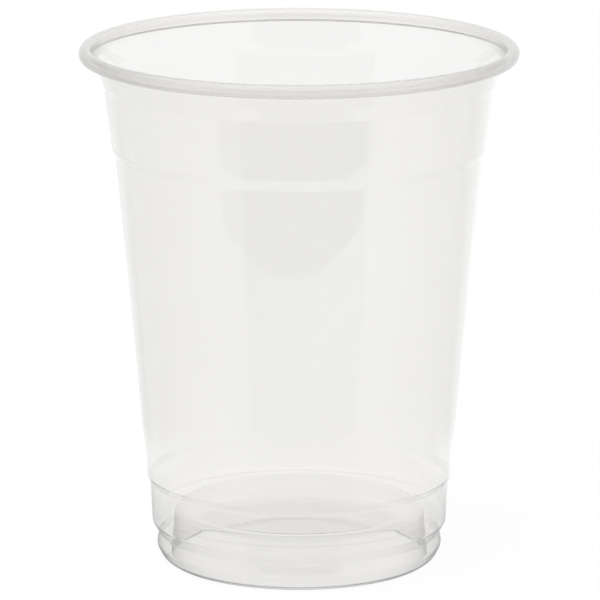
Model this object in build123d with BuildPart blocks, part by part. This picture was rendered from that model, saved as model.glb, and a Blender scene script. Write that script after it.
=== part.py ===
from build123d import *

import os
from math import cos, radians, sin, tan

# A clear cold-drink cup, formed from one thin sheet and turned about its own axis.
# Millimetres, +Z up, with the origin on the table under the middle of the cup.

# Whole cup
height = 117.0
rim_diameter = 98.0
sheet = 0.3

# Rolled rim: the neck flares outwards, and the sheet curls over and under in short flats
roll_diameter = 3.2
roll_start = 150.0
roll_end = -90.0
roll_flats = 8
neck_flare = 19.0

# Lid ledge, upper band and shoulder, going down from the rim
neck_depth = 7.4
ledge_drop = 1.6
ledge_inset = 0.7
upper_band_height = 13.3
upper_band_draft = 6.9
shoulder_drop = 2.3
shoulder_inset = 0.95

# Foot, groove, lower band and waist, going up from the table
foot_diameter = 64.2
foot_level = 3.3
groove_depth = 0.48
groove_rise = 2.9
band_overhang = 1.48
band_rise = 2.55
lower_band_height = 9.25
lower_band_draft = 2.8
waist_rise = 1.6
waist_outset = 0.75

# Underside: a high raised panel, a flat ring that stands on the table, and a heel that rises to the foot
panel_diameter = 55.4
panel_height = 11.7
stand_diameter = 57.2
stand_width = 0.9
heel_run_share = 0.54
heel_rise_share = 0.29

# Bevels of the sharpest corners, measured along the straight runs beside them
panel_bevel = 1.5
foot_bevel = 0.68

# A bevel takes up at most this share of a straight run
bevel_reach_share = 0.45


def bevelled(before, corner, after, cut):
    """The two points that a bevel leaves of an outline's corner, limited by the runs beside it"""
    middle = Vector(*corner)
    run_in = middle - Vector(*before)
    run_out = Vector(*after) - middle
    reach = min(cut, bevel_reach_share * run_in.length, bevel_reach_share * run_out.length)
    return [middle - run_in.normalized() * reach, middle + run_out.normalized() * reach]


# The roll, from where the neck runs into it to its free edge, as the sheet's inner side of the curl
roll_turn = (roll_start - roll_end) / roll_flats
curl_radius = roll_diameter / 2 - sheet / cos(radians(roll_turn / 2))
curl_across = rim_diameter / 2 - roll_diameter / 2
curl_up = height - roll_diameter / 2
curl = []
for flat in range(roll_flats + 1):
    angle = radians(roll_start - flat * roll_turn)
    curl.append((curl_across + curl_radius * cos(angle), curl_up + curl_radius * sin(angle)))
neck_top = curl[0]

# Corners of the sheet's outer face as (distance from the axis, height), from the rim down to the shoulder
neck_level = height - neck_depth
neck_low = (neck_top[0] - (neck_top[1] - neck_level) * tan(radians(neck_flare)), neck_level)
ledge_low = (neck_low[0] - ledge_inset, neck_low[1] - ledge_drop)
upper_taper = upper_band_height * tan(radians(upper_band_draft))
shoulder_high = (ledge_low[0] - upper_taper, ledge_low[1] - upper_band_height)
shoulder_low = (shoulder_high[0] - shoulder_inset, shoulder_high[1] - shoulder_drop)

# Corners from the middle of the underside out to the foot and up to the waist
panel_middle = (0, panel_height)
panel_edge = (panel_diameter / 2, panel_height)
stand_inner = (stand_diameter / 2, 0)
stand_outer = (stand_inner[0] + stand_width, 0)
foot = (foot_diameter / 2, foot_level)
heel_run = heel_run_share * (foot[0] - stand_outer[0])
heel = (stand_outer[0] + heel_run, heel_rise_share * foot_level)
groove = (foot[0] - groove_depth, foot[1] + groove_rise)
band_low = (groove[0] + band_overhang, groove[1] + band_rise)
lower_taper = lower_band_height * tan(radians(lower_band_draft))
band_high = (band_low[0] + lower_taper, band_low[1] + lower_band_height)
waist = (band_high[0] + waist_outset, band_high[1] + waist_rise)

base_line = [panel_middle]
base_line += bevelled(panel_middle, panel_edge, stand_inner, panel_bevel)
base_line += [stand_inner, stand_outer, heel]
base_line += bevelled(heel, foot, groove, foot_bevel)
wall_line = [groove, band_low, band_high, waist, shoulder_low, shoulder_high, ledge_low, neck_low]

with BuildPart() as cup:
    with BuildSketch(Plane.XZ):
        with BuildLine():
            Polyline(*base_line, *wall_line, *curl)
            offset(amount=sheet, side=Side.LEFT, kind=Kind.INTERSECTION)
        make_face()
    revolve(axis=Axis.Z)

cup.part.label = "cup"
os.makedirs("parts", exist_ok=True)
export_step(cup.part, "parts/cup.step")
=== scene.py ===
from math import cos, radians, sin, tan

import bpy
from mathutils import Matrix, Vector


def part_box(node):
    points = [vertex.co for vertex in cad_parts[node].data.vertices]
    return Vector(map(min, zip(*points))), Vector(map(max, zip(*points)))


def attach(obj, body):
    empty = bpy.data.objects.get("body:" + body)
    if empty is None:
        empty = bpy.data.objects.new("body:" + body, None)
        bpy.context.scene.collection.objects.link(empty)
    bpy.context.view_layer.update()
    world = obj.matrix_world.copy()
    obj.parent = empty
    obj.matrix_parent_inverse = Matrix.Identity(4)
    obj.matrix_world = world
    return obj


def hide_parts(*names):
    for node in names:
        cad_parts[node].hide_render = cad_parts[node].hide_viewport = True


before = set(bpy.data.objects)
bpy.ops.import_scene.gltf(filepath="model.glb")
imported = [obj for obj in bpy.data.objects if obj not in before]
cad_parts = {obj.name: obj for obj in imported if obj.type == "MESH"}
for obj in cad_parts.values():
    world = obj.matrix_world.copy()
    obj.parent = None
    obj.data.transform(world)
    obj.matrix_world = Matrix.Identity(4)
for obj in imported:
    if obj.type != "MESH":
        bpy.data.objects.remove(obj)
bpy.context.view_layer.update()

# Lengths are millimetres where nothing else is said, and are turned into metres where they are used
MM = 0.001

# Whole cup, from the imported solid
cup_low, cup_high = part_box("cup")
RIM_RADIUS = (cup_high.x - cup_low.x) / 2 / MM
HEIGHT = (cup_high.z - cup_low.z) / MM
SHEET = 0.3

# Rolled rim: half its width, the degrees it sweeps, the corners that draw it, how many of them keep the full
# width before the roll tightens and by how much, how tall it is for its width, and the shares of the section's
# length and of the sheet at which its free edge starts to thin and ends
ROLL_RADIUS = 1.6
ROLL_SWEEP = 300.0
ROLL_CORNERS = 5
ROLL_FULL_CORNERS = 3
ROLL_TIGHTENING = 0.2
ROLL_TALLNESS = 1.1
ROLL_EDGE_FROM_SHARE = 0.97
ROLL_EDGE_SHARE = 0.15
NECK_FLARE = 19.0

# Lid ledge, upper band and shoulder, going down from the rim
NECK_DEPTH = 7.4
LEDGE_DROP = 1.6
LEDGE_INSET = 0.7
UPPER_BAND_HEIGHT = 13.3
UPPER_BAND_DRAFT = 6.9
SHOULDER_DROP = 2.3
SHOULDER_INSET = 0.95

# Foot, groove, lower band and waist, going up from the table
FOOT_RADIUS = 32.1
FOOT_LEVEL = 3.3
GROOVE_DEPTH = 0.48
GROOVE_RISE = 2.9
BAND_OVERHANG = 1.48
BAND_RISE = 2.55
LOWER_BAND_HEIGHT = 9.25
LOWER_BAND_DRAFT = 2.8
WAIST_RISE = 1.6
WAIST_OUTSET = 0.75

# Underside
PANEL_RADIUS = 27.7
PANEL_HEIGHT = 11.7
STAND_RADIUS = 28.6
STAND_WIDTH = 0.9
HEEL_RUN_SHARE = 0.54
HEEL_RISE_SHARE = 0.29

# Rounds of the corners
PANEL_ROUND = 1.8
STAND_INNER_ROUND = 0.5
STAND_OUTER_ROUND = 0.8
HEEL_ROUND = 2.5
FOOT_ROUND = 2.0
GROOVE_ROUND = 0.8
BAND_ROUND = 1.6
WAIST_ROUND = 0.9
SHOULDER_ROUND = 1.5
LEDGE_ROUND = 0.9

# Fineness of the turned mesh, the ring that the section is swept along, and how close points are welded
SEGMENTS_AROUND = 384
ROUND_STEPS = 5
LONGEST_RUN = 10.0
AXIS_RING = PANEL_RADIUS / 2
WELD = 0.001

# Clear plastic: how it bends light, its tints, its haze, and the waves and ripple of its surface
PLASTIC_IOR = 1.575
CLEAREST = (0.992, 0.988, 0.982, 1)
CLOUDIEST = (0.981, 0.975, 0.965, 1)
HAZE_PATCH = 22.0
HAZE_DETAIL = 3
ROUGHNESS_LEAST = 0.0
ROUGHNESS_MOST = 0.06
DRAW_WAVE = 9.0
DRAW_DETAIL = 1
DRAW_STRETCH = 0.2
DRAW_DEPTH = 0.011
RIPPLE = 2.5
RIPPLE_DEPTH = 0.002

# The hot tool that rolls the rim leaves it a little warmer in colour and duller, from this level up
ROLLED_FROM = 112.6
ROLLED_TO = 114.2
ROLLED_TINT = (0.988, 0.98, 0.966, 1)
ROLLED_ROUGHNESS = 0.16

# Painted shade: dark lines painted into the sheet's colour where its edges look dark, at the panel's edge,
# round the lower band and along
# the roll: distance from the axis, height, half their width and how much of the tint they take
PAINTED_SHADE_LINES = [(27.5, 11.95, 0.5, 0.7), (33.2, 10.9, 0.4, 0.5), (48.9, 114.75, 0.4, 0.6)]
PAINTED_SHADE_TINT = (0.80, 0.793, 0.78, 1)

# The room as the sheet mirrors it, from the camera's side (0) to the backdrop's (1), and the soft light above
# it, from level (0) to straight up (1): place and level
ROOM_LEVELS = [
    (0.0, 0.0), (0.13, 0.0), (0.137, 0.34), (0.2, 0.32), (0.5, 0.36), (0.8, 0.6), (0.93, 0.86), (0.97, 0.97),
]
OVERHEAD_LEVELS = [(0.55, 0.0), (0.8, 1.0)]
BACKDROP_SIDE = (0.07, 0.998, 0.0)
BACKDROP_WHITE = 1.0
WHITE = (1, 1, 1, 1)
RAMP_MIDDLE = 0.5
MIRRORED_ONCE = 0.5

# Floor: metres across, with the glow and the brighter ring that the sheet mirrors near the cup, the rounded
# front edge where the glow ends, and the painted shade that pools behind the foot and the painted contact
# shadow under the cup, which show through the base. Pairs are a share of the reach and the level there.
FLOOR_SIZE = 12
FLOOR_PAPER = (0.04, 0.04, 0.04, 1)
FLOOR_WHITE = 0.955
FLOOR_GLOW_LEFT = 0.27
FLOOR_GLOW_RIGHT = 0.47
FLOOR_GLOW_REACH = 160.0
FLOOR_FRONT_MIDDLE = 209.0
FLOOR_FRONT_SIDES = 303.0
FLOOR_FRONT_TURN = 0.3
FLOOR_FRONT_SOFTNESS = 1.6
FLOOR_RING_REACH = 130.0
FLOOR_RING = [(0.0, 0.0), (0.45, 0.0), (0.73, 0.15), (1.0, 0.0)]
FLOOR_SHADE_BEHIND = 34.0
FLOOR_SHADE_REACH = 26.0
FLOOR_SHADE = [(0.0, 0.79), (0.7, 0.84), (1.0, 1.0)]
FLOOR_CONTACT_SHADE_REACH = 37.0
FLOOR_CONTACT_SHADE = [(0.0, 0.93), (0.8, 0.93), (1.0, 0.96)]

# Lamp: metres and watts
LAMP_SIZE = 1.2
LAMP_POWER = 12.0
LAMP_PLACE = (-0.5, -0.4, 1.4)

# Camera, fitted to the rings and the outline in the photograph: degrees, millimetres, and metres for its clip.
# The sheet traps light, so rays bounce often.
VIEW_ELEVATION = 13.02
VIEW_DISTANCE = 1241.8
VIEW_AIM = (0.2, 0.0, 59.0)
VIEW_LENS = 332.7
VIEW_CLIP = 100
MOST_BOUNCES = 64


def add_node(tree, kind, **settings):
    """A new node of a tree, with its own settings"""
    node = tree.nodes.new(kind)
    for name, value in settings.items():
        setattr(node, name, value)
    return node


def cup_section():
    """The sheet's outer face from the base to the roll: corners as (distance from the axis, height, round)"""
    curl_radius = ROLL_RADIUS - SHEET
    curl_across = RIM_RADIUS - ROLL_RADIUS
    curl_up = HEIGHT - SHEET - ROLL_TALLNESS * curl_radius
    flare = radians(NECK_FLARE)
    roll_start = radians(180 - NECK_FLARE)
    neck_rise = ROLL_TALLNESS * curl_radius * sin(roll_start)
    neck_top = (curl_across + curl_radius * cos(roll_start), curl_up + neck_rise)

    neck_level = HEIGHT - NECK_DEPTH
    neck_low = (neck_top[0] - (neck_top[1] - neck_level) * tan(flare), neck_level)
    ledge_low = (neck_low[0] - LEDGE_INSET, neck_low[1] - LEDGE_DROP)
    upper_taper = UPPER_BAND_HEIGHT * tan(radians(UPPER_BAND_DRAFT))
    shoulder_high = (ledge_low[0] - upper_taper, ledge_low[1] - UPPER_BAND_HEIGHT)
    shoulder_low = (shoulder_high[0] - SHOULDER_INSET, shoulder_high[1] - SHOULDER_DROP)

    stand_outer = (STAND_RADIUS + STAND_WIDTH, 0)
    heel_run = HEEL_RUN_SHARE * (FOOT_RADIUS - stand_outer[0])
    heel = (stand_outer[0] + heel_run, HEEL_RISE_SHARE * FOOT_LEVEL)
    groove = (FOOT_RADIUS - GROOVE_DEPTH, FOOT_LEVEL + GROOVE_RISE)
    band_low = (groove[0] + BAND_OVERHANG, groove[1] + BAND_RISE)
    lower_taper = LOWER_BAND_HEIGHT * tan(radians(LOWER_BAND_DRAFT))
    band_high = (band_low[0] + lower_taper, band_low[1] + LOWER_BAND_HEIGHT)
    waist = (band_high[0] + WAIST_OUTSET, band_high[1] + WAIST_RISE)

    section = [
        (0, PANEL_HEIGHT, 0),
        (PANEL_RADIUS, PANEL_HEIGHT, PANEL_ROUND),
        (STAND_RADIUS, 0, STAND_INNER_ROUND),
        (*stand_outer, STAND_OUTER_ROUND),
        (*heel, HEEL_ROUND),
        (FOOT_RADIUS, FOOT_LEVEL, FOOT_ROUND),
        (*groove, GROOVE_ROUND),
        (*band_low, BAND_ROUND),
        (*band_high, WAIST_ROUND),
        (*waist, WAIST_ROUND),
        (*shoulder_low, SHOULDER_ROUND),
        (*shoulder_high, SHOULDER_ROUND),
        (*ledge_low, LEDGE_ROUND),
        (*neck_low, LEDGE_ROUND),
    ]
    # The roll is drawn as the straight-sided figure around its circle, whose corners are then fully rounded
    corner_turn = radians(ROLL_SWEEP / ROLL_CORNERS)
    for corner in range(ROLL_CORNERS):
        angle = roll_start - (corner + 0.5) * corner_turn
        tighter = max(0, corner + 1 - ROLL_FULL_CORNERS) / (ROLL_CORNERS - ROLL_FULL_CORNERS)
        turn_radius = curl_radius - ROLL_TIGHTENING * tighter
        reach = turn_radius / cos(corner_turn / 2)
        rise = ROLL_TALLNESS * reach * sin(angle)
        section.append((curl_across + reach * cos(angle), curl_up + rise, turn_radius))
    roll_end = roll_start - radians(ROLL_SWEEP)
    end_radius = curl_radius - ROLL_TIGHTENING
    end_rise = ROLL_TALLNESS * end_radius * sin(roll_end)
    section.append((curl_across + end_radius * cos(roll_end), curl_up + end_rise, 0))
    return [tuple(value * MM for value in corner) for corner in section]


def section_curve(section):
    """The section as a curve in the X and Y of its own plane, each point's radius being its corner's round"""
    data = bpy.data.curves.new("cup_section", "CURVE")
    data.dimensions = "3D"
    spline = data.splines.new("POLY")
    spline.points.add(len(section) - 1)
    for point, (across, up, corner_round) in zip(spline.points, section):
        point.co = (across, up, 0, 1)
        point.radius = corner_round
    curve = bpy.data.objects.new("cup_section", data)
    bpy.context.scene.collection.objects.link(curve)
    return curve


def turned_sheet_tree():
    """Nodes that round a section's corners, turn it about the axis and give it the sheet's thickness"""
    tree = bpy.data.node_groups.new("turned_sheet", "GeometryNodeTree")
    sockets = tree.interface
    sockets.new_socket("Section", in_out="INPUT", socket_type="NodeSocketGeometry")
    sockets.new_socket("Sheet", in_out="INPUT", socket_type="NodeSocketFloat")
    sockets.new_socket("Free edge", in_out="INPUT", socket_type="NodeSocketFloat")
    sockets.new_socket("Free edge from", in_out="INPUT", socket_type="NodeSocketFloat")
    sockets.new_socket("Segments around", in_out="INPUT", socket_type="NodeSocketInt")
    sockets.new_socket("Round steps", in_out="INPUT", socket_type="NodeSocketInt")
    sockets.new_socket("Longest run", in_out="INPUT", socket_type="NodeSocketFloat")
    sockets.new_socket("Axis ring", in_out="INPUT", socket_type="NodeSocketFloat")
    sockets.new_socket("Finish", in_out="INPUT", socket_type="NodeSocketMaterial")
    sockets.new_socket("Cup", in_out="OUTPUT", socket_type="NodeSocketGeometry")
    link = tree.links.new
    given = add_node(tree, "NodeGroupInput").outputs
    made = add_node(tree, "NodeGroupOutput").inputs

    # Rounded corners, then extra points along the straight runs
    rounded = add_node(tree, "GeometryNodeFilletCurve", mode="POLY")
    link(given["Section"], rounded.inputs["Curve"])
    link(given["Round steps"], rounded.inputs["Count"])
    link(add_node(tree, "GeometryNodeInputRadius").outputs["Radius"], rounded.inputs["Radius"])
    rounded.inputs["Limit Radius"].default_value = True
    place = add_node(tree, "GeometryNodeInputPosition")
    following = add_node(tree, "ShaderNodeMath", operation="ADD")
    link(add_node(tree, "GeometryNodeInputIndex").outputs["Index"], following.inputs[0])
    following.inputs[1].default_value = 1
    next_place = add_node(tree, "GeometryNodeFieldAtIndex", data_type="FLOAT_VECTOR")
    link(place.outputs["Position"], next_place.inputs["Value"])
    link(following.outputs[0], next_place.inputs["Index"])
    run = add_node(tree, "ShaderNodeVectorMath", operation="DISTANCE")
    link(place.outputs["Position"], run.inputs[0])
    link(next_place.outputs["Value"], run.inputs[1])
    cuts = add_node(tree, "ShaderNodeMath", operation="DIVIDE")
    link(run.outputs["Value"], cuts.inputs[0])
    link(given["Longest run"], cuts.inputs[1])
    divided = add_node(tree, "GeometryNodeSubdivideCurve")
    link(rounded.outputs["Curve"], divided.inputs["Curve"])
    link(cuts.outputs[0], divided.inputs["Cuts"])

    # How far along the section each point lies, kept for the thinning of the free edge
    along = add_node(tree, "GeometryNodeCaptureAttribute")
    along.capture_items.new("FLOAT", "Along")
    link(divided.outputs["Curve"], along.inputs["Geometry"])
    link(add_node(tree, "GeometryNodeSplineParameter").outputs["Factor"], along.inputs["Along"])

    # The section swept along a small ring about the axis
    inwards = add_node(tree, "ShaderNodeMath", operation="MULTIPLY")
    link(given["Axis ring"], inwards.inputs[0])
    inwards.inputs[1].default_value = -1
    offset = add_node(tree, "ShaderNodeCombineXYZ")
    link(inwards.outputs[0], offset.inputs["X"])
    moved = add_node(tree, "GeometryNodeTransform")
    link(along.outputs["Geometry"], moved.inputs["Geometry"])
    link(offset.outputs[0], moved.inputs["Translation"])
    moved.inputs["Scale"].default_value = (1, -1, 1)
    ring = add_node(tree, "GeometryNodeCurvePrimitiveCircle", mode="RADIUS")
    link(given["Segments around"], ring.inputs["Resolution"])
    link(given["Axis ring"], ring.inputs["Radius"])
    turned = add_node(tree, "GeometryNodeCurveToMesh")
    link(ring.outputs["Curve"], turned.inputs["Curve"])
    link(moved.outputs["Geometry"], turned.inputs["Profile Curve"])
    skin = add_node(tree, "GeometryNodeMergeByDistance")
    link(turned.outputs["Mesh"], skin.inputs["Geometry"])
    skin.inputs["Distance"].default_value = WELD * MM

    # The other side of the sheet, joined to the first along the roll's free edge
    second = add_node(tree, "GeometryNodeExtrudeMesh", mode="FACES")
    link(skin.outputs["Geometry"], second.inputs["Mesh"])
    thickness = add_node(tree, "ShaderNodeMapRange")
    link(along.outputs["Along"], thickness.inputs["Value"])
    link(given["Free edge from"], thickness.inputs["From Min"])
    link(given["Sheet"], thickness.inputs["To Min"])
    link(given["Free edge"], thickness.inputs["To Max"])
    link(thickness.outputs["Result"], second.inputs["Offset Scale"])
    second.inputs["Individual"].default_value = False
    first = add_node(tree, "GeometryNodeFlipFaces")
    link(skin.outputs["Geometry"], first.inputs["Mesh"])
    both = add_node(tree, "GeometryNodeJoinGeometry")
    link(first.outputs["Mesh"], both.inputs["Geometry"])
    link(second.outputs["Mesh"], both.inputs["Geometry"])
    closed = add_node(tree, "GeometryNodeMergeByDistance")
    link(both.outputs["Geometry"], closed.inputs["Geometry"])
    closed.inputs["Distance"].default_value = WELD * MM
    smooth = add_node(tree, "GeometryNodeSetShadeSmooth")
    link(closed.outputs["Geometry"], smooth.inputs["Geometry"])

    real = add_node(tree, "GeometryNodeRealizeInstances")
    link(smooth.outputs["Geometry"], real.inputs["Geometry"])
    finished = add_node(tree, "GeometryNodeSetMaterial")
    link(real.outputs["Geometry"], finished.inputs["Geometry"])
    link(given["Finish"], finished.inputs["Material"])
    link(finished.outputs["Geometry"], made["Cup"])
    return tree


def set_tree_inputs(modifier, values):
    """Sets a geometry nodes modifier's inputs by the names that its tree gives them"""
    for item in modifier.node_group.interface.items_tree:
        if item.in_out == "INPUT" and item.name in values:
            modifier[item.identifier] = values[item.name]


def build_cup(finish):
    """The cup as one closed shell"""
    curve = section_curve(cup_section())
    modifier = curve.modifiers.new("turned_sheet", "NODES")
    modifier.node_group = turned_sheet_tree()
    set_tree_inputs(modifier, {
        "Sheet": SHEET * MM,
        "Free edge": ROLL_EDGE_SHARE * SHEET * MM,
        "Free edge from": ROLL_EDGE_FROM_SHARE,
        "Segments around": SEGMENTS_AROUND,
        "Round steps": ROUND_STEPS,
        "Longest run": LONGEST_RUN * MM,
        "Axis ring": AXIS_RING * MM,
        "Finish": finish,
    })
    shape = curve.evaluated_get(bpy.context.evaluated_depsgraph_get())
    mesh = bpy.data.meshes.new_from_object(shape)
    mesh.name = "clear_cup"
    bpy.data.objects.remove(curve)
    cup = bpy.data.objects.new("clear_cup", mesh)
    bpy.context.scene.collection.objects.link(cup)
    return cup


def ring_line(tree, place, across, level, reach, strength):
    """A soft line round the axis, at a distance from it and a level: full there, and 0 from its reach on"""
    flat = add_node(tree, "ShaderNodeVectorMath", operation="MULTIPLY")
    tree.links.new(place, flat.inputs[0])
    flat.inputs[1].default_value = (1, 1, 0)
    radius = add_node(tree, "ShaderNodeVectorMath", operation="LENGTH")
    tree.links.new(flat.outputs["Vector"], radius.inputs[0])
    height = add_node(tree, "ShaderNodeSeparateXYZ")
    tree.links.new(place, height.inputs[0])
    spot = add_node(tree, "ShaderNodeCombineXYZ")
    tree.links.new(radius.outputs["Value"], spot.inputs["X"])
    tree.links.new(height.outputs["Z"], spot.inputs["Z"])
    away = add_node(tree, "ShaderNodeVectorMath", operation="DISTANCE")
    tree.links.new(spot.outputs[0], away.inputs[0])
    away.inputs[1].default_value = (across * MM, 0, level * MM)
    line = add_node(tree, "ShaderNodeMapRange", interpolation_type="SMOOTHSTEP")
    tree.links.new(away.outputs["Value"], line.inputs["Value"])
    line.inputs["From Min"].default_value = reach * MM
    line.inputs["From Max"].default_value = 0
    line.inputs["To Max"].default_value = strength
    return line.outputs["Result"]


def clear_plastic():
    """Clear formed sheet: glossy, drawn into faint upright waves by the mould, with a breath of haze"""
    material = bpy.data.materials.new("clear_plastic")
    material.use_nodes = True
    tree = material.node_tree
    link = tree.links.new
    shader = tree.nodes["Principled BSDF"]
    shader.inputs["IOR"].default_value = PLASTIC_IOR
    shader.inputs["Transmission Weight"].default_value = 1.0
    place = add_node(tree, "ShaderNodeTexCoord").outputs["Object"]

    # Haze: patches where the sheet cooled first are a shade duller
    patches = add_node(tree, "ShaderNodeTexNoise")
    link(place, patches.inputs["Vector"])
    patches.inputs["Scale"].default_value = 1 / (HAZE_PATCH * MM)
    patches.inputs["Detail"].default_value = HAZE_DETAIL
    haze = add_node(tree, "ShaderNodeMapRange")
    link(patches.outputs["Fac"], haze.inputs["Value"])
    haze.inputs["To Min"].default_value = ROUGHNESS_LEAST
    haze.inputs["To Max"].default_value = ROUGHNESS_MOST
    up = add_node(tree, "ShaderNodeSeparateXYZ")
    link(place, up.inputs[0])
    rolled = add_node(tree, "ShaderNodeMapRange", interpolation_type="SMOOTHSTEP")
    link(up.outputs["Z"], rolled.inputs["Value"])
    rolled.inputs["From Min"].default_value = ROLLED_FROM * MM
    rolled.inputs["From Max"].default_value = ROLLED_TO * MM
    dullness = add_node(tree, "ShaderNodeMix", data_type="FLOAT")
    link(rolled.outputs["Result"], dullness.inputs["Factor"])
    link(haze.outputs["Result"], dullness.inputs["A"])
    dullness.inputs["B"].default_value = ROLLED_ROUGHNESS
    link(dullness.outputs["Result"], shader.inputs["Roughness"])
    tint = add_node(tree, "ShaderNodeMix", data_type="RGBA")
    link(patches.outputs["Fac"], tint.inputs["Factor"])
    tint.inputs["A"].default_value = CLEAREST
    tint.inputs["B"].default_value = CLOUDIEST
    colour = add_node(tree, "ShaderNodeMix", data_type="RGBA")
    link(rolled.outputs["Result"], colour.inputs["Factor"])
    link(tint.outputs["Result"], colour.inputs["A"])
    colour.inputs["B"].default_value = ROLLED_TINT
    colour = colour.outputs["Result"]
    # Lines of painted shade round the axis, each darkening the sheet's colour towards the shade tint
    for across, level, reach, strength in PAINTED_SHADE_LINES:
        shade_line = add_node(tree, "ShaderNodeMix", data_type="RGBA")
        link(ring_line(tree, place, across, level, reach, strength), shade_line.inputs["Factor"])
        link(colour, shade_line.inputs["A"])
        shade_line.inputs["B"].default_value = PAINTED_SHADE_TINT
        colour = shade_line.outputs["Result"]
    link(colour, shader.inputs["Base Color"])

    # Waves: long upright ones from drawing the sheet, and a fine ripple from the mould's face
    upright = add_node(tree, "ShaderNodeMapping")
    link(place, upright.inputs["Vector"])
    upright.inputs["Scale"].default_value = (1, 1, DRAW_STRETCH)
    drawn = add_node(tree, "ShaderNodeTexNoise")
    link(upright.outputs["Vector"], drawn.inputs["Vector"])
    drawn.inputs["Scale"].default_value = 1 / (DRAW_WAVE * MM)
    drawn.inputs["Detail"].default_value = DRAW_DETAIL
    ripple = add_node(tree, "ShaderNodeTexNoise")
    link(place, ripple.inputs["Vector"])
    ripple.inputs["Scale"].default_value = 1 / (RIPPLE * MM)
    drawn_bump = add_node(tree, "ShaderNodeBump")
    link(drawn.outputs["Fac"], drawn_bump.inputs["Height"])
    drawn_bump.inputs["Distance"].default_value = DRAW_DEPTH * MM
    ripple_bump = add_node(tree, "ShaderNodeBump")
    link(ripple.outputs["Fac"], ripple_bump.inputs["Height"])
    link(drawn_bump.outputs["Normal"], ripple_bump.inputs["Normal"])
    ripple_bump.inputs["Distance"].default_value = RIPPLE_DEPTH * MM
    link(ripple_bump.outputs["Normal"], shader.inputs["Normal"])
    return material


def add_ramp(tree, value, steps):
    """A smooth run of levels: steps are pairs of a place between 0 and 1 and the level there"""
    ramp = add_node(tree, "ShaderNodeValToRGB")
    ramp.color_ramp.interpolation = "EASE"
    while len(ramp.color_ramp.elements) < len(steps):
        ramp.color_ramp.elements.new(RAMP_MIDDLE)
    for element, (position, level) in zip(ramp.color_ramp.elements, steps):
        element.position = position
        element.color = (level, level, level, 1)
    tree.links.new(value, ramp.inputs["Fac"])
    return ramp.outputs["Color"]


def round_spot(tree, place, behind, reach, steps):
    """Levels that run outwards from a point behind the axis, over a reach in millimetres"""
    middle = add_node(tree, "ShaderNodeVectorMath", operation="SUBTRACT")
    tree.links.new(place, middle.inputs[0])
    middle.inputs[1].default_value = (0, behind * MM, 0)
    distance = add_node(tree, "ShaderNodeVectorMath", operation="LENGTH")
    tree.links.new(middle.outputs["Vector"], distance.inputs[0])
    share = add_node(tree, "ShaderNodeMath", operation="DIVIDE")
    tree.links.new(distance.outputs["Value"], share.inputs[0])
    share.inputs[1].default_value = reach * MM
    return add_ramp(tree, share.outputs[0], steps)


def facing_backdrop(tree, direction):
    """How far a direction turns from the camera's side, 0, to the backdrop's, 1"""
    unit = add_node(tree, "ShaderNodeVectorMath", operation="NORMALIZE")
    tree.links.new(direction, unit.inputs[0])
    towards = add_node(tree, "ShaderNodeVectorMath", operation="DOT_PRODUCT")
    tree.links.new(unit.outputs["Vector"], towards.inputs[0])
    towards.inputs[1].default_value = BACKDROP_SIDE
    facing = add_node(tree, "ShaderNodeMapRange")
    tree.links.new(towards.outputs["Value"], facing.inputs["Value"])
    facing.inputs["From Min"].default_value = -1
    return facing.outputs["Result"]


def lit_floor(tree, place, facing):
    """The floor near the cup, which the sheet mirrors: it ends in a rounded edge on the camera's side"""
    edge = add_node(tree, "ShaderNodeMapRange")
    tree.links.new(facing, edge.inputs["Value"])
    edge.inputs["From Max"].default_value = FLOOR_FRONT_TURN
    edge.inputs["To Min"].default_value = FLOOR_FRONT_MIDDLE * MM
    edge.inputs["To Max"].default_value = FLOOR_FRONT_SIDES * MM
    distance = add_node(tree, "ShaderNodeVectorMath", operation="LENGTH")
    tree.links.new(place, distance.inputs[0])
    inside = add_node(tree, "ShaderNodeMath", operation="SUBTRACT")
    tree.links.new(edge.outputs["Result"], inside.inputs[0])
    tree.links.new(distance.outputs["Value"], inside.inputs[1])
    level = add_node(tree, "ShaderNodeMapRange", interpolation_type="SMOOTHSTEP")
    tree.links.new(inside.outputs[0], level.inputs["Value"])
    level.inputs["From Min"].default_value = -FLOOR_FRONT_SOFTNESS * MM
    level.inputs["From Max"].default_value = FLOOR_FRONT_SOFTNESS * MM
    parts = add_node(tree, "ShaderNodeSeparateXYZ")
    tree.links.new(place, parts.inputs[0])
    glow = add_node(tree, "ShaderNodeMapRange")
    tree.links.new(parts.outputs["X"], glow.inputs["Value"])
    glow.inputs["From Min"].default_value = -FLOOR_GLOW_REACH * MM
    glow.inputs["From Max"].default_value = FLOOR_GLOW_REACH * MM
    glow.inputs["To Min"].default_value = FLOOR_GLOW_LEFT
    glow.inputs["To Max"].default_value = FLOOR_GLOW_RIGHT
    tree.links.new(glow.outputs["Result"], level.inputs["To Max"])
    return level.outputs["Result"]


def shown_or_mirrored(tree, shown_level, mirrored_level):
    """One level for what is seen or seen through the sheet, the other for what the sheet mirrors"""
    path = add_node(tree, "ShaderNodeLightPath")
    mirrored = add_node(tree, "ShaderNodeMath", operation="GREATER_THAN")
    tree.links.new(path.outputs["Glossy Depth"], mirrored.inputs[0])
    mirrored.inputs[1].default_value = MIRRORED_ONCE
    level = add_node(tree, "ShaderNodeMix", data_type="FLOAT")
    tree.links.new(mirrored.outputs[0], level.inputs["Factor"])
    tree.links.new(shown_level, level.inputs["A"])
    tree.links.new(mirrored_level, level.inputs["B"])
    return level.outputs["Result"]


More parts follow.
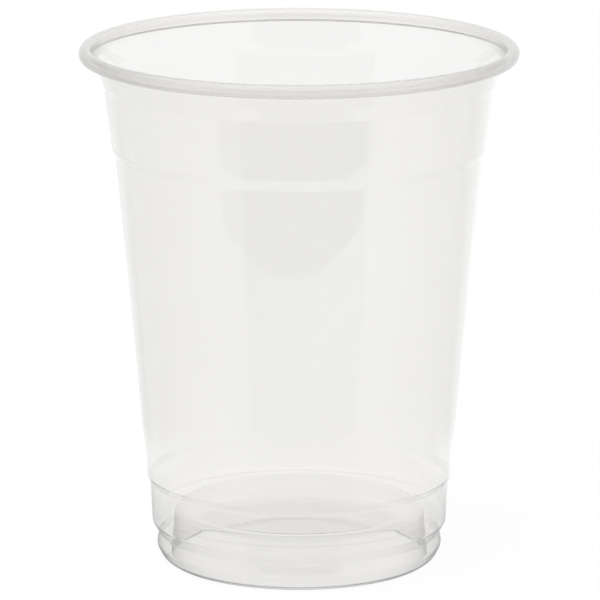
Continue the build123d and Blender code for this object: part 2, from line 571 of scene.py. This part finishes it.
def pale_floor():
    """A pale floor that shows white, keeps a faint shadow and is dimmer where the cup mirrors it"""
    bpy.ops.mesh.primitive_plane_add(size=FLOOR_SIZE)
    floor = bpy.context.object
    floor.name = "floor"
    material = bpy.data.materials.new("pale_floor")
    material.use_nodes = True
    tree = material.node_tree
    link = tree.links.new
    tree.nodes.remove(tree.nodes["Principled BSDF"])
    place = add_node(tree, "ShaderNodeTexCoord").outputs["Object"]
    facing = facing_backdrop(tree, place)
    brightest = add_node(tree, "ShaderNodeMath", operation="MAXIMUM")
    link(add_ramp(tree, facing, ROOM_LEVELS), brightest.inputs[0])
    link(lit_floor(tree, place, facing), brightest.inputs[1])
    mirrored = add_node(tree, "ShaderNodeMath", operation="ADD")
    link(brightest.outputs[0], mirrored.inputs[0])
    link(round_spot(tree, place, 0, FLOOR_RING_REACH, FLOOR_RING), mirrored.inputs[1])
    path = add_node(tree, "ShaderNodeLightPath")
    shown = add_node(tree, "ShaderNodeMix", data_type="FLOAT")
    link(path.outputs["Is Camera Ray"], shown.inputs["Factor"])
    # Painted shadow: the floor seen through the cup is darker behind the foot and under the cup
    shade = add_node(tree, "ShaderNodeMath", operation="MULTIPLY")
    link(round_spot(tree, place, FLOOR_SHADE_BEHIND, FLOOR_SHADE_REACH, FLOOR_SHADE), shade.inputs[0])
    link(round_spot(tree, place, 0, FLOOR_CONTACT_SHADE_REACH, FLOOR_CONTACT_SHADE), shade.inputs[1])
    link(shade.outputs[0], shown.inputs["A"])
    shown.inputs["B"].default_value = FLOOR_WHITE
    glow = add_node(tree, "ShaderNodeEmission")
    link(shown_or_mirrored(tree, shown.outputs["Result"], mirrored.outputs[0]), glow.inputs["Strength"])
    paper = add_node(tree, "ShaderNodeBsdfDiffuse")
    paper.inputs["Color"].default_value = FLOOR_PAPER
    both = add_node(tree, "ShaderNodeAddShader")
    link(glow.outputs[0], both.inputs[0])
    link(paper.outputs[0], both.inputs[1])
    link(both.outputs[0], tree.nodes["Material Output"].inputs["Surface"])
    floor.data.materials.append(material)


def studio_world():
    """White all round for what is seen or seen through, and a dim room lit from above for what is mirrored"""
    world = bpy.data.worlds.new("studio")
    bpy.context.scene.world = world
    world.use_nodes = True
    tree = world.node_tree
    direction = add_node(tree, "ShaderNodeTexCoord").outputs["Generated"]
    white = add_node(tree, "ShaderNodeValue")
    white.outputs[0].default_value = BACKDROP_WHITE
    height = add_node(tree, "ShaderNodeSeparateXYZ")
    tree.links.new(direction, height.inputs[0])
    room = add_node(tree, "ShaderNodeMath", operation="MAXIMUM")
    tree.links.new(add_ramp(tree, facing_backdrop(tree, direction), ROOM_LEVELS), room.inputs[0])
    tree.links.new(add_ramp(tree, height.outputs["Z"], OVERHEAD_LEVELS), room.inputs[1])
    level = shown_or_mirrored(tree, white.outputs[0], room.outputs[0])
    tree.links.new(level, tree.nodes["Background"].inputs["Strength"])
    tree.nodes["Background"].inputs["Color"].default_value = WHITE


def soft_lamp():
    """One large soft lamp overhead, which gives the floor the cup's faint shadow"""
    data = bpy.data.lights.new("soft_lamp", "AREA")
    data.shape = "DISK"
    data.size = LAMP_SIZE
    data.energy = LAMP_POWER
    lamp = bpy.data.objects.new("soft_lamp", data)
    bpy.context.scene.collection.objects.link(lamp)
    lamp.location = LAMP_PLACE
    lamp.rotation_euler = (-Vector(LAMP_PLACE)).to_track_quat("-Z", "Y").to_euler()
    lamp.visible_glossy = False
    lamp.visible_transmission = False


def photo_camera():
    """The camera at the photograph's viewing angle"""
    data = bpy.data.cameras.new("camera")
    data.lens = VIEW_LENS
    data.clip_end = VIEW_CLIP
    camera = bpy.data.objects.new("camera", data)
    bpy.context.scene.collection.objects.link(camera)
    bpy.context.scene.camera = camera
    elevation = radians(VIEW_ELEVATION)
    back = Vector((0, -cos(elevation), sin(elevation)))
    camera.location = (Vector(VIEW_AIM) + back * VIEW_DISTANCE) * MM
    camera.rotation_euler = (-back).to_track_quat("-Z", "Y").to_euler()


photo_camera()
cup = build_cup(clear_plastic())
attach(cup, "root")
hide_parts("cup")
pale_floor()
studio_world()
soft_lamp()

scene = bpy.context.scene
scene.view_settings.view_transform = "Standard"
scene.cycles.max_bounces = MOST_BOUNCES
scene.cycles.transmission_bounces = MOST_BOUNCES
scene.cycles.glossy_bounces = MOST_BOUNCES
